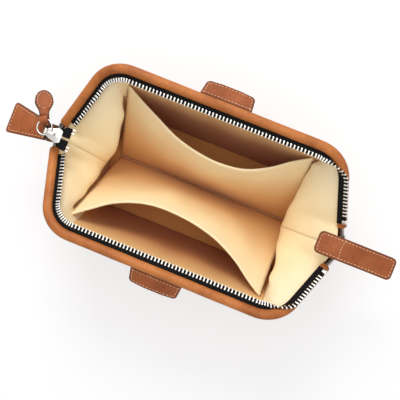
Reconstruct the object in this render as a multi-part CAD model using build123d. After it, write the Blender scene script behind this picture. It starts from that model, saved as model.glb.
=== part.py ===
from build123d import *
import math
import os

# Leather wash bag whose mouth is held by two hinged U-shaped frame halves.
# Millimetres. The origin is the centre of the base's underside, +Z is up,
# +X runs from the slider end to the strap end, and +Y points to the back half.

# Hinge and frame halves. A half is flat: t runs up its plane from the hinge
# line to the bar, and n points out of its plane, to the inside of the bag.
hinge_x = 125.5          # centre of each hinge, from the middle of the bag
hinge_z = 78.0           # height of the hinge line
plane_offset = 12.0      # distance from the hinge line to a half's plane
bar_reach = 73.0         # t of the long bar
corner_x = 100.0         # where leg and bar would meet without their bend
corner_radius = 28.0
open_elevation = 27.0    # angle of a half above the horizontal, mouth open
closed_bar_offset = 5.2  # bar centre from the middle plane, mouth closed
wire_radius = 1.6
wire_foot = 1.5          # t at which the round wire starts
cover_radius = 4.0
cover_bore_clearance = 0.15
cover_start_left = 6.0   # t at which the leather cover starts, slider end
cover_start_right = 13.0

# Hinge tongues and rivets
tongue_thickness = 1.2
tongue_gap = 0.2         # between the two halves' tongues on one rivet
tongue_width = 3.2
tongue_foot = 6.0        # how far a tongue runs along the wire
eye_radius = 3.2
rivet_radius = 1.5
rivet_clearance = 0.05
rivet_head_radius = 2.7
rivet_head_thickness = 1.0
rivet_head_gap = 0.15

# Zip
tape_start = 12.0        # t of the tapes' first point at the slider end
tape_end = 18.0          # t of the tapes' last point at the strap end
tape_root_in = 3.9       # towards the mouth, from the cover's centre line
tape_root_n = 1.5
tape_edge_in = 10.2
tape_edge_n = 3.4
flip_root_in = 3.6       # the same four sizes where the tape is turned out
flip_root_n = 3.6
flip_edge_in = -4.2
flip_edge_n = 6.2
flip_from = 66.0         # path length before the tape's end where it turns
flip_to = 38.0
tape_thickness = 0.8
tape_step = 6.0
tooth_pitch = 3.0
tooth_length = 1.5
tooth_width = 3.2
tooth_thickness = 2.2
tooth_seat = 0.45
flip_lift = 6.0          # how high the tape arches where it turns over
stop_length = 4.0
stop_thickness = 2.6

# Slider, ring and puller
slider_inset = 1.5       # slider's middle, from the hinge towards the mouth
slider_length = 13.0
slider_width = 12.4
slider_tail_width = 6.4
slider_plate = 1.1
slider_rise = 5.0        # slider's underside above the hinge line
slider_slot = 2.4
post_length = 4.0
post_width = 1.2
bail_length = 8.5
bail_width = 2.6
bail_bar = 1.2
bail_inside = 2.5
bail_shift = -2.4
ring_radius = 6.35
ring_wire = 0.65
ring_heading = 153.0     # plan direction of the ring from the bail, from +X
ring_slope = 10.0
ring_post_gap = 1.2      # from the bail's post to the ring's wire
ring_over_plate = 1.3
puller_heading = 116.0   # plan direction of the puller from +X
puller_slope = 14.0
puller_roll = 18.0
puller_length = 25.0
puller_width = 15.0
puller_neck_width = 7.0
puller_layer = 1.7
puller_loop_radius = 3.3
puller_tunnel_radius = 1.95
layer_gap = 0.05

# Zip end that is sewn to the body
end_tape_overhang = 7.8  # beyond the hinge
end_tape_reach = 9.5     # from the hinge towards the mouth
end_tape_slit = 1.0
end_tape_half_width = 4.2
end_wing_reach = 9.8
end_wing_inset = 8.9     # from the hinge to the wings' outer edge
end_wing_width = 5.0
end_fold_drop = 3.0
end_tooth_rows = 2

# Leather shell: half sizes of its outline at each height
leather = 1.8
board_thickness = 2.0
board_margin = 3.0
shell_heights = [1.85, 36.0, hinge_z - 20.0, hinge_z + 24.0]
shell_tips = [96.0, 92.0, hinge_x + 2.8, hinge_x + 4.5]
shell_corners = [93.0, 97.0, 99.0, 101.5]
shell_half_widths = [47.0, 56.0, 61.5, 72.5]
shell_radii = [14.0, 19.0, 23.0, 28.0]
tip_radius = 5.0
panel_gap = 0.1
panel_split_x = 84.0     # where side panels and gussets meet
fold_half_width = 30.0   # the gussets' inward folds lie within this of the middle
cut_below_cover = 0.5    # from the cover's underside to the walls' top edge
tent_t = 5.0             # the hinge's clear space starts at this t
ear_half_width = 7.5
ear_thickness = 1.6
ear_x = hinge_x + 2.85
ear_foot_z = hinge_z - 23.0
ear_gap = 0.25           # from the ear's top to what is sewn over it
ear_root_z = hinge_z - 20.5        # where the ear joins the wall below the hinge
ear_root_height = 2.0
ear_root_depth = 3.4

# Lining: half sizes of its outline at each height
lining = 0.8
lining_heights = [5.0, 36.0, hinge_z - 18.0, hinge_z + 5.0, hinge_z + 24.0]
lining_tips = [88.0, 79.0, hinge_x - 13.5, hinge_x - 4.0, hinge_x - 3.5]
lining_corners = [86.0, 92.0, 95.0, 98.0, 99.0]
lining_half_widths = [43.0, 52.5, 58.5, 64.5, 69.0]
lining_radii = [11.0, 16.0, 20.0, 24.0, 26.0]
lining_top_z = hinge_z + 4.6
base_lining_gap = 0.2

# Pockets
pocket_cloth = 1.2
pocket_foot_y = 0.9
pocket_foot_z = 5.2
pocket_foot_half = 70.0
pocket_top_z = 72.0
pocket_end_x = 78.0
pocket_end_y = 59.2
pocket_sag_y = 26.0

# Tabs and strap
side_tab_width = 41.0
side_tab_foot_width = 44.0
side_tab_depth = 15.0
side_tab_layer = 1.5
side_tab_droop = 31.0
side_tab_x = -2.0
side_tab_seat = 0.15
side_tab_corner = 4.0
side_tab_crown = 1.6
end_tab_gap = 5.7        # tab's inner edge beyond the hinge
end_tab_inner_half = 7.5
end_tab_outer_half = 13.5
end_tab_length = 37.0
end_tab_layer = 1.6
end_tab_slope = 14.0
end_tab_rise = 4.0       # tab's top above the hinge line
end_tab_corner = 2.5
strap_layer = 1.6
strap_half_width = 9.3
strap_inner_x = hinge_x - 20.0
strap_inner_z = hinge_z + 5.4
strap_ridge_x = hinge_x - 2.5
strap_ridge_end_x = hinge_x + 5.5
strap_ridge_z = hinge_z + 6.3
strap_outer_x = hinge_x + 46.5
strap_outer_z = hinge_z - 5.0
strap_corner = 4.0
strap_back_x = hinge_x - 10.5

# Sizes worked out from the ones above
sin_open = math.sin(math.radians(open_elevation))
cos_open = math.cos(math.radians(open_elevation))
closed_radius = math.hypot(plane_offset, bar_reach)
closed_lean = math.degrees(
    math.atan2(plane_offset, bar_reach) - math.asin(closed_bar_offset / closed_radius)
)
swing = 90.0 - open_elevation + closed_lean
leg_slope = (hinge_x - corner_x) / bar_reach
slider_x = -(hinge_x - slider_inset)
slider_floor_z = hinge_z + slider_rise
end_tape_left = -(hinge_x + end_tape_overhang)
end_tape_right = -(hinge_x - end_tape_reach)
end_wing_inner_x = -(hinge_x - end_wing_inset)

os.makedirs("parts", exist_ok=True)


def save(shape, node):
    """Write one named piece."""
    export_step(shape, "parts/" + node + ".step")


def leg_x(t):
    """Distance of a leg's centre line from the middle of the bag, at t."""
    return hinge_x - leg_slope * t


# A half is drawn flat, with y = -t and z = n, and then stands in this plane.
front_plane = Plane(
    origin=(0, -plane_offset * sin_open, hinge_z - plane_offset * cos_open),
    x_dir=(1, 0, 0),
    z_dir=(0, sin_open, cos_open),
)


def place_front(shape):
    """Stand a flat half piece in the front half's open position."""
    return shape.moved(front_plane.location)


def place_back(shape):
    """The same piece on the back half."""
    return mirror(shape.moved(front_plane.location), about=Plane.XZ)


def mouth_path(t_left, t_right):
    """Centre line of a half: leg, bend, bar, bend, leg."""
    return FilletPolyline(
        (-leg_x(t_left), -t_left),
        (-corner_x, -bar_reach),
        (corner_x, -bar_reach),
        (leg_x(t_right), -t_right),
        radius=corner_radius,
    )


def tube(path, outer, inner=0.0):
    """Round tube or rod along a path."""
    section = Circle(outer)
    if inner > 0:
        section = section - Circle(inner)
    start = Plane(origin=path @ 0, z_dir=path % 0)
    return sweep(start * section, path=path)


def tongue(side, shift):
    """Flattened wire end: an eye on the hinge line and an arm down to the wire."""
    half = tongue_width / 2
    arm = make_face(
        Polyline(
            (-tongue_foot, -half),
            (half, -half),
            (half, plane_offset),
            (-half, plane_offset),
            (-half, half),
            (-tongue_foot, half),
            close=True,
        )
    )
    profile = arm + Pos(0, plane_offset) * Circle(eye_radius)
    profile = profile - Pos(0, plane_offset) * Circle(rivet_radius + rivet_clearance)
    low_x = side * hinge_x + shift - tongue_thickness / 2
    return Pos(low_x, 0, 0) * extrude(Plane.YZ * profile, amount=tongue_thickness)


def frame_wire(shift):
    """Steel wire of one half, with its two flattened ends."""
    wire = tube(mouth_path(wire_foot, wire_foot), wire_radius)
    for side in (-1, 1):
        wire = wire + tongue(side, side * shift)
    return wire


def mix(a, b, share):
    return a + (b - a) * share


def ease(share):
    share = min(1.0, max(0.0, share))
    return share * share * (3 - 2 * share)


zip_path = mouth_path(tape_start, tape_end)


def turned_out(length):
    """How far the tape is turned outwards at a length along its path: 0 to 1."""
    left = zip_path.length - length
    return ease((flip_from - left) / (flip_from - flip_to))


def tape_line(length):
    """Root and edge of the tape at a length, as pairs of inward and n."""
    share = turned_out(length)
    root = (mix(tape_root_in, flip_root_in, share), mix(tape_root_n, flip_root_n, share))
    lift = flip_lift * share * (1 - share)
    edge = (
        mix(tape_edge_in, flip_edge_in, share),
        mix(tape_edge_n, flip_edge_n, share) + lift,
    )
    return root, edge


def section_plane(length, root, edge):
    """Plane across the path at a root point, with x towards the tape's edge."""
    along = zip_path.position_at(length / zip_path.length)
    run = zip_path.tangent_at(length / zip_path.length)
    inward = Vector(-run.Y, run.X, 0)
    up = Vector(0, 0, 1)
    reach = inward * (edge[0] - root[0]) + up * (edge[1] - root[1])
    origin = along + inward * root[0] + up * root[1]
    return Plane(origin=origin, x_dir=reach, z_dir=run), reach.length


def zip_tape():
    """Cloth tape from its root at the cover to the inner end of the teeth."""
    count = math.ceil(zip_path.length / tape_step)
    sections = []
    for i in range(count + 1):
        length = zip_path.length * i / count
        root, edge = tape_line(length)
        plane, reach = section_plane(length, root, edge)
        cloth = reach - tooth_width
        sections.append(plane * Pos(cloth / 2, 0) * Rectangle(cloth, tape_thickness))
    return loft(sections, ruled=True)


def on_tape(length, size_along, thick):
    """A metal block on the tape's edge at a length."""
    root, edge = tape_line(length)
    plane, reach = section_plane(length, root, edge)
    centre = reach - tooth_width / 2 + tooth_seat / 2
    block = Box(tooth_width - tooth_seat, thick, size_along)
    return plane * Pos(centre, 0, 0) * block


def zip_teeth():
    """Row of teeth, one separate solid each."""
    room = zip_path.length - stop_length - 2 * tooth_length
    count = int(room / tooth_pitch)
    teeth = [
        on_tape(tooth_length + i * tooth_pitch, tooth_length, tooth_thickness)
        for i in range(count + 1)
    ]
    return Compound(children=teeth)


def top_stop():
    """Metal stop crimped on the tape's free end."""
    return on_tape(zip_path.length - stop_length / 2, stop_length, stop_thickness)


def side_tab(layer):
    """Stitched grab tab on the outside of a half. Layer 0 is on top."""
    outer = side_tab_width / 2
    foot = side_tab_foot_width / 2
    start = cover_radius + side_tab_seat
    crown = start + side_tab_depth
    outline = make_face(
        [
            Line((-foot, start), (foot, start)),
            Line((foot, start), (outer, crown - side_tab_crown)),
            ThreePointArc((outer, crown - side_tab_crown), (0, crown), (-outer, crown - side_tab_crown)),
            Line((-outer, crown - side_tab_crown), (-foot, start)),
        ]
    )
    ends = outline.vertices().filter_by_position(
        Axis.Y, crown - side_tab_crown - 0.01, crown - side_tab_crown + 0.01
    )
    outline = fillet(ends, side_tab_corner)
    z = layer_gap / 2 if layer == 0 else -side_tab_layer - layer_gap / 2
    plate = Pos(0, 0, z) * extrude(outline, amount=side_tab_layer)
    droop = math.radians(side_tab_droop)
    down = Vector(0, -math.cos(droop), -math.sin(droop))
    bar = front_plane.from_local_coords(Vector(side_tab_x, -bar_reach, 0))
    place = Plane(origin=bar, x_dir=(-1, 0, 0), z_dir=Vector(-1, 0, 0).cross(down))
    return plate.moved(place.location)


def make_half(name, place, shift):
    """All pieces of one frame half."""
    bore = wire_radius + cover_bore_clearance
    cover_path = mouth_path(cover_start_left, cover_start_right)
    save(place(frame_wire(shift)), name + "_frame_wire")
    save(place(tube(cover_path, cover_radius, bore)), name + "_frame_cover")
    save(place(zip_tape()), name + "_zipper_tape")
    save(place(zip_teeth()), name + "_zipper_teeth")
    save(place(top_stop()), name + "_top_stop")
    for layer, word in enumerate(("top", "back")):
        tab = side_tab(layer)
        if name == "back":
            tab = mirror(tab, about=Plane.XZ)
        save(tab, name + "_side_tab_" + word)


def rivet(side):
    """Hinge rivet through both tongues at one end."""
    stack = tongue_thickness + tongue_gap / 2 + rivet_head_gap
    shaft = Cylinder(rivet_radius, 2 * stack)
    body = shaft
    for end in (-1, 1):
        head = Cylinder(rivet_head_radius, rivet_head_thickness)
        body = body + Pos(0, 0, end * (stack + rivet_head_thickness / 2)) * head
    return Pos(side * hinge_x, 0, hinge_z) * Rot(0, 90, 0) * body


def outline_wire(z, tip, corner, half_width, radius):
    """Closed outline of the bag at one height, folded at its two ends."""
    path = FilletPolyline(
        (0, -half_width),
        (corner, -half_width),
        (tip, 0),
        (corner, half_width),
        (0, half_width),
        (-corner, half_width),
        (-tip, 0),
        (-corner, -half_width),
        radius=[0, radius, tip_radius, radius, 0, radius, tip_radius, radius],
        close=True,
    )
    return Pos(0, 0, z) * make_face(path)


def hull_shape(heights, tips, corners, half_widths, radii, inset):
    """Closed shape through the outlines, drawn in by a wall."""
    sections = []
    for i, z in enumerate(heights):
        sections.append(
            outline_wire(
                z,
                tips[i] - inset,
                corners[i] - inset,
                half_widths[i] - inset,
                radii[i] - inset,
            )
        )
    return loft(sections, ruled=True)


def sweep_room(side, n_level, t_level):
    """Space that a half needs while it turns, as a long prism across the bag."""
    reach = 200.0
    flat = Pos(0, 0, n_level) * Box(
        2 * reach, reach, reach, align=(Align.CENTER, Align.MAX, Align.MIN)
    )
    flat = Pos(0, -t_level, 0) * flat
    shape = flat.moved(front_plane.location)
    return shape if side < 0 else mirror(shape, about=Plane.XZ)


def trim_top(shape, n_level):
    """Cut walls clear of both halves' travel."""
    for side in (-1, 1):
        shape = shape - sweep_room(side, n_level, tent_t)
    return shape


def between(shape, low, high):
    """Part of a shape between two corner points."""
    size = [high[i] - low[i] for i in range(3)]
    middle = [(high[i] + low[i]) / 2 for i in range(3)]
    return shape & (Pos(*middle) * Box(*size))


def four_walls(shape):
    """Split a ring of walls into front, back, left and right."""
    far = 300.0
    split = panel_split_x
    gap = panel_gap / 2
    front = between(shape, (-split + gap, -far, -far), (split - gap, -fold_half_width, far))
    back = between(shape, (-split + gap, fold_half_width, -far), (split - gap, far, far))
    left = between(shape, (-far, -far, -far), (-split - gap, far, far))
    left = left + between(shape, (-split - 1, -fold_half_width, -far), (0, fold_half_width, far))
    right = between(shape, (split + gap, -far, -far), (far, far, far))
    right = right + between(shape, (0, -fold_half_width, -far), (split + 1, fold_half_width, far))
    return front, back, left, right


def ear(side, top_z):
    """Strip of gusset leather that runs up outside the hinge."""
    height = top_z - ear_foot_z
    x = side * (ear_x + ear_thickness / 2)
    strip = Pos(x, 0, ear_foot_z + height / 2) * Box(ear_thickness, 2 * ear_half_width, height)
    root_x = side * (ear_x + ear_thickness - ear_root_depth / 2)
    root = Pos(root_x, 0, ear_root_z + ear_root_height / 2) * Box(
        ear_root_depth, 2 * ear_half_width, ear_root_height
    )
    return strip + root


def make_shell():
    """Leather base, board, two side panels and two gussets."""
    wall_top = -cover_radius - cut_below_cover
    sizes = (shell_heights, shell_tips, shell_corners, shell_half_widths, shell_radii)
    walls = hull_shape(*sizes, 0.0) - hull_shape(*sizes, leather)
    tongue_low_z = hinge_z - plane_offset - tongue_width
    hinge_room = Pos(0, 0, tongue_low_z) * Box(
        4 * hinge_x, 2 * plane_offset, hinge_z, align=(Align.CENTER, Align.CENTER, Align.MIN)
    )
    walls = trim_top(walls, wall_top) - hinge_room
    front, back, left, right = four_walls(walls)
    left = left + ear(-1, slider_floor_z - ear_gap)
    right = right + ear(1, strap_ridge_z - ear_gap)
    save(front, "front_panel")
    save(back, "back_panel")
    save(left, "left_gusset")
    save(right, "right_gusset")
    base = outline_wire(0, shell_tips[0], shell_corners[0], shell_half_widths[0], shell_radii[0])
    save(extrude(base, amount=leather), "base_panel")
    drawn_in = leather + board_margin
    board = outline_wire(
        shell_heights[0],
        shell_tips[0] - drawn_in,
        shell_corners[0] - drawn_in,
        shell_half_widths[0] - drawn_in,
        shell_radii[0] - drawn_in,
    )
    save(extrude(board, amount=board_thickness), "base_board")


def make_lining():
    """Lining of the sides, gussets and bottom."""
    sizes = (lining_heights, lining_tips, lining_corners, lining_half_widths, lining_radii)
    walls = hull_shape(*sizes, 0.0) - hull_shape(*sizes, lining)
    walls = trim_top(walls, -cover_radius - cut_below_cover)
    over_hinge = Pos(0, 0, lining_top_z) * Box(
        4 * hinge_x, 2 * plane_offset, hinge_z, align=(Align.CENTER, Align.CENTER, Align.MIN)
    )
    walls = walls - over_hinge
    front, back, left, right = four_walls(walls)
    save(front, "front_lining")
    save(back, "back_lining")
    save(left, "left_gusset_lining")
    save(right, "right_gusset_lining")
    floor_z = lining_heights[0] - base_lining_gap - lining
    floor = outline_wire(
        floor_z, lining_tips[0], lining_corners[0], lining_half_widths[0], lining_radii[0]
    )
    save(extrude(floor, amount=lining), "base_lining")


def pocket():
    """Front pocket panel, from the bottom seam up to its sagging top edge."""
    foot = Pos(0, -pocket_foot_y - pocket_cloth / 2, pocket_foot_z) * Rectangle(
        2 * pocket_foot_half, pocket_cloth
    )
    inner = [
        (-pocket_end_x, -pocket_end_y),
        (0, -pocket_sag_y),
        (pocket_end_x, -pocket_end_y),
    ]
    outer = [(x, y - pocket_cloth) for x, y in inner]
    top = make_face(
        [
            ThreePointArc(*inner),
            Line(inner[2], outer[2]),
            ThreePointArc(*outer),
            Line(outer[0], inner[0]),
        ]
    )
    return loft([foot, Pos(0, 0, pocket_top_z) * top], ruled=True)


def end_tab(layer):
    """Flared tab at the slider end. Layer 0 is on top."""
    outline = Polyline(
        (0, -end_tab_inner_half),
        (0, end_tab_inner_half),
        (-end_tab_length, end_tab_outer_half),
        (-end_tab_length, -end_tab_outer_half),
        close=True,
    )
    face = make_face(outline)
    face = fillet(face.vertices().sort_by(Axis.X)[:2], end_tab_corner)
    depth = end_tab_layer if layer == 0 else 2 * end_tab_layer + layer_gap
    plate = Pos(0, 0, -depth) * extrude(face, amount=end_tab_layer)
    return Pos(-(hinge_x + end_tab_gap), 0, hinge_z + end_tab_rise) * Rot(0, -end_tab_slope, 0) * plate


def strap(layer):
    """Strap at the far end, over the gusset's ear. Layer 0 is on top."""
    lift = strap_layer + layer_gap if layer == 0 else 0.0
    inner_x = strap_inner_x if layer == 0 else strap_back_x
    low = [
        (strap_inner_x, strap_inner_z + lift),
        (strap_ridge_x, strap_ridge_z + lift),
        (strap_ridge_end_x, strap_ridge_z + lift),
        (strap_outer_x, strap_outer_z + lift),
    ]
    high = [(x, z + strap_layer) for x, z in reversed(low)]
    side = make_face(Polyline(*low, *high, close=True))
    solid = extrude(Plane.XZ * side, amount=strap_half_width, both=True)
    plan = Rectangle(strap_outer_x - inner_x, 2 * strap_half_width)
    plan = fillet(plan.vertices(), strap_corner)
    middle = (strap_outer_x + inner_x) / 2
    return solid & (Pos(middle, 0, 0) * extrude(plan, amount=200))


def slider_outline():
    """Plan of the slider's plates: wide at the mouth end, narrow at the tail."""
    half = slider_length / 2
    face = make_face(
        Polyline(
            (half, -slider_width / 2 + 1.2),
            (half, slider_width / 2 - 1.2),
            (half - 3.5, slider_width / 2),
            (-half, slider_tail_width / 2),
            (-half, -slider_tail_width / 2),
            (half - 3.5, -slider_width / 2),
            close=True,
        )
    )
    return fillet(face.vertices(), 0.9)


def slider_body():
    """Two plates joined by the post that parts the tapes."""
    face = slider_outline()
    upper_z = slider_floor_z + slider_plate + slider_slot
    lower = Pos(slider_x, 0, slider_floor_z) * extrude(face, amount=slider_plate)
    upper = Pos(slider_x, 0, upper_z) * extrude(face, amount=slider_plate)
    post_x = slider_x + slider_length / 2 - post_length / 2 - 0.6
    post_z = slider_floor_z + slider_plate + slider_slot / 2
    post = Pos(post_x, 0, post_z) * Box(post_length, post_width, slider_slot + slider_plate)
    return lower + upper + post


def slider_top():
    return slider_floor_z + 2 * slider_plate + slider_slot


def slider_bail():
    """Arch on the slider that holds the ring."""
    high = bail_inside + bail_bar
    outside = Rectangle(bail_length, high, align=(Align.CENTER, Align.MIN))
    outside = fillet(outside.vertices().sort_by(Axis.Y)[-2:], bail_bar * 1.2)
    inside = Rectangle(bail_length - 2 * bail_bar, bail_inside, align=(Align.CENTER, Align.MIN))
    arch = extrude(Plane.XZ * (outside - inside), amount=bail_width / 2, both=True)
    return Pos(slider_x + bail_shift, 0, slider_top()) * arch


def ring_frame():
    """Plane of the ring, its x pointing from the bail to the ring's far side."""
    bail_x = slider_x + bail_shift - bail_length / 2 + bail_bar + ring_post_gap + ring_wire
    heading = math.radians(ring_heading)
    toward = Vector(math.cos(heading), math.sin(heading), 0)
    slope = math.radians(ring_slope)
    x_dir = toward * math.cos(slope) - Vector(0, 0, 1) * math.sin(slope)
    across = Vector(0, 0, 1).cross(toward)
    near = Vector(bail_x, 0, slider_top() + ring_over_plate)
    centre = near + x_dir * ring_radius
    return Plane(origin=centre, x_dir=x_dir, z_dir=x_dir.cross(across)), near, across


def pull_ring():
    plane, near, across = ring_frame()
    return Torus(ring_radius, ring_wire).moved(plane.location)


def puller_frame():
    """Plane of the puller at the ring's wire, its x pointing to the tip."""
    plane, near, across = ring_frame()
    heading = math.radians(puller_heading)
    flat = Vector(math.cos(heading), math.sin(heading), 0)
    local = plane.to_local_coords(plane.origin + flat)
    way = Vector(local.X, local.Y, 0).normalized()
    hold = plane.from_local_coords(way * ring_radius)
    out = plane.from_local_coords(way) - plane.origin
    slope = math.radians(puller_slope)
    x_dir = flat * math.cos(slope) - Vector(0, 0, 1) * math.sin(slope)
    side = plane.z_dir.cross(out).normalized()
    return hold, x_dir, side


def puller(layer):
    """Leather puller. Layer 0 is the top leaf with the loop round the ring."""
    hold, x_dir, side = puller_frame()
    neck = puller_neck_width / 2
    wide = puller_width / 2
    tip = puller_length
    start = 0.0 if layer == 0 else puller_loop_radius + 0.2
    leaf = make_face(
        [
            Line((start, -neck), (start, neck)),
            Line((start, neck), (tip * 0.36, neck)),
            Spline(
                (tip * 0.36, neck),
                (tip * 0.62, wide),
                tangents=[(1, 0), (1, 0)],
            ),
            ThreePointArc((tip * 0.62, wide), (tip, 0), (tip * 0.62, -wide)),
            Spline(
                (tip * 0.62, -wide),
                (tip * 0.36, -neck),
                tangents=[(-1, 0), (-1, 0)],
            ),
            Line((tip * 0.36, -neck), (start, -neck)),
        ]
    )
    z = layer_gap / 2 if layer == 0 else -puller_layer - layer_gap / 2
    shape = Pos(0, 0, z) * extrude(leaf, amount=puller_layer)
    cross = Vector(0, 0, 1).cross(x_dir).normalized()
    lying = Plane(origin=hold, x_dir=x_dir, z_dir=x_dir.cross(cross))
    shape = shape.moved(lying.location * Location((0, 0, 0), (puller_roll, 0, 0)))
    if layer == 0:
        loop_plane = Plane(origin=hold, x_dir=x_dir.cross(side), z_dir=side)
        loop = Cylinder(puller_loop_radius, puller_neck_width).moved(loop_plane.location)
        tunnel = Cylinder(puller_tunnel_radius, puller_width).moved(loop_plane.location)
        shape = (shape + loop) - tunnel
    return shape


def end_tape():
    """Joined end of the zip tapes, under and beside the slider."""
    z = slider_floor_z + slider_plate + (slider_slot - tape_thickness) / 2
    middle = (end_tape_left + end_tape_right) / 2
    length = end_tape_right - end_tape_left
    plan = Pos(middle, 0) * Rectangle(length, 2 * end_tape_half_width)
    wing = Pos(end_wing_inner_x + end_wing_width / 2, 0) * Rectangle(
        end_wing_width, 2 * end_wing_reach
    )
    slit_length = length
    slit = Pos(slider_x - slider_length / 2 + slit_length / 2 + 1.0, 0) * Rectangle(
        slit_length, 2 * end_tape_slit
    )
    flat = Pos(0, 0, z) * extrude(plan + wing - slit, amount=tape_thickness)
    fold = Pos(end_tape_left + tape_thickness / 2, 0, z - end_fold_drop / 2) * Box(
        tape_thickness, 2 * end_tape_half_width, end_fold_drop
    )
    return flat + fold


def end_teeth():
    """Last teeth on the sewn end, beside the slider."""
    z = slider_floor_z + slider_plate + slider_slot / 2
    x = end_wing_inner_x + end_wing_width + tooth_width / 2 + tooth_seat
    teeth = []
    for side in (-1, 1):
        for row in range(end_tooth_rows):
            y = side * (end_wing_reach - tooth_length / 2 - row * tooth_pitch)
            teeth.append(Pos(x, y, z) * Box(tooth_width, tooth_length, tooth_thickness))
    return Compound(children=teeth)


def bottom_stop():
    """Metal stop over the joined tapes, behind the slider."""
    z = slider_floor_z + slider_plate + (slider_slot + tape_thickness) / 2 + 0.5
    return Pos(end_tape_left + 1.4, 0, z) * Box(1.8, 5.0, 0.9)


make_half("front", place_front, -tongue_thickness / 2 - tongue_gap / 2)
make_half("back", place_back, tongue_thickness / 2 + tongue_gap / 2)
save(rivet(-1), "left_hinge_rivet")
save(rivet(1), "right_hinge_rivet")
make_shell()
make_lining()
front_pocket = pocket()
save(front_pocket, "front_pocket")
save(mirror(front_pocket, about=Plane.XZ), "back_pocket")
save(end_tab(0), "left_end_tab_top")
save(end_tab(1), "left_end_tab_back")
save(strap(0), "right_end_strap_top")
save(strap(1), "right_end_strap_back")
save(end_tape(), "zipper_end_tape")
save(end_teeth(), "zipper_end_teeth")
save(bottom_stop(), "zipper_bottom_stop")
save(slider_body(), "slider_body")
save(slider_bail(), "slider_bail")
save(pull_ring(), "pull_ring")
save(puller(0), "puller_top")
save(puller(1), "puller_back")

ring_plane, ring_near, ring_axis = ring_frame()
hold, pull_dir, pull_axis = puller_frame()
print("swing", round(swing, 2))
print("ring pivot", ring_near, "axis", ring_axis)
print("puller pivot", hold, "axis", pull_axis)
print("bar at rest", front_plane.from_local_coords(Vector(0, -bar_reach, 0)))
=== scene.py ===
import bmesh
import bpy
from math import copysign, cos, exp, pi, radians, sin, tan
from mathutils import Matrix, Vector, noise


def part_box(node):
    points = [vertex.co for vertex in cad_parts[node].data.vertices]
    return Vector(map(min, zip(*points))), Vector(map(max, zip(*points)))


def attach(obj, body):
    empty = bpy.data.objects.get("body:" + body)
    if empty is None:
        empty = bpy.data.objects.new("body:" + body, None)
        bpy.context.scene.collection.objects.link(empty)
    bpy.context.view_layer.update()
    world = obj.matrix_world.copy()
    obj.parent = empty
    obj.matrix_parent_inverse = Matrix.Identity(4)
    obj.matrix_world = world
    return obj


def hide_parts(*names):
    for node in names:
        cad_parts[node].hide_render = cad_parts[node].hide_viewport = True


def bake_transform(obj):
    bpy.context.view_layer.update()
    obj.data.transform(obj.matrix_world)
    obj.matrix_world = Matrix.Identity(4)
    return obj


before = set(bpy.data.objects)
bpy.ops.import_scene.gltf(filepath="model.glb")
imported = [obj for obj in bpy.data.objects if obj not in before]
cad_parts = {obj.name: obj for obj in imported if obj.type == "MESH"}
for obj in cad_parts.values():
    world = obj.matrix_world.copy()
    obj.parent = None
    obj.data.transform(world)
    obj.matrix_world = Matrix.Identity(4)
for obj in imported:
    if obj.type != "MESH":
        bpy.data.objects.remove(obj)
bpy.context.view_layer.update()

# Sizes are in millimetres, in the same frame as the CAD model, and become metres in the meshes.
MM = 0.001
HINGE_X = 125.5
HINGE_Z = 78.0
PLANE_OFFSET = 12.0
BAR_REACH = 73.0
CORNER_X = 100.0
BEND = 28.0
OPEN = radians(27.0)
SIN, COS = sin(OPEN), cos(OPEN)
COVER_R = 4.0
COVER_FOOT = (6.0, 13.0)  # t of the covers' ends, slider end and strap end
TAPE_FOOT = (12.0, 18.0)
SPLIT_X = 84.0
ENDS = ((-1, "left"), (1, "right"))
HALVES = ((-1, "front"), (1, "back"))
SAME = 0.05  # outline points nearer than this count as one


def mix(a, b, share):
    return a + (b - a) * share


def ease(share):
    share = min(1.0, max(0.0, share))
    return share * share * (3 - 2 * share)


# Lines


def circle(count):
    return [2 * pi * k / count for k in range(count)]


def rounded(points, radii, step=1.5):
    """A 2D or 3D line through points, with its inner corners rounded by arcs."""
    points = [Vector(p) for p in points]
    line = [points[0]]
    for i in range(1, len(points) - 1):
        p = points[i]
        back = (points[i - 1] - p).normalized()
        on = (points[i + 1] - p).normalized()
        half = back.angle(on) / 2
        r = radii[i]
        if r <= 0.01 or half > 1.55:
            line.append(p.copy())
            continue
        room = min((points[i - 1] - p).length, (points[i + 1] - p).length)
        reach = min(r / tan(half), 0.98 * room)
        r = reach * tan(half)
        centre = p + (back + on).normalized() * (r / sin(half))
        a, b = p + back * reach - centre, p + on * reach - centre
        turn = a.angle(b)
        s = sin(turn)
        count = max(3, int(turn * r / step) + 1)
        for k in range(count + 1):
            v = a * (sin((1 - k / count) * turn) / s) + b * (sin(k / count * turn) / s)
            line.append(centre + v)
    line.append(points[-1])
    return line


def lengths(line):
    total = [0.0]
    for a, b in zip(line, line[1:]):
        total.append(total[-1] + (b - a).length)
    return total


def at_length(line, total, where):
    """Point on a line at a length along it."""
    where = min(max(where, 0.0), total[-1])
    low, high = 0, len(total) - 1
    while high - low > 1:
        mid = (low + high) // 2
        if total[mid] <= where:
            low = mid
        else:
            high = mid
    span = total[high] - total[low]
    return line[low].lerp(line[high], (where - total[low]) / span if span > 1e-9 else 0.0)


def even(line, count):
    """Points that cut a line into equal lengths."""
    total = lengths(line)
    return [at_length(line, total, total[-1] * i / count) for i in range(count + 1)]


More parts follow.
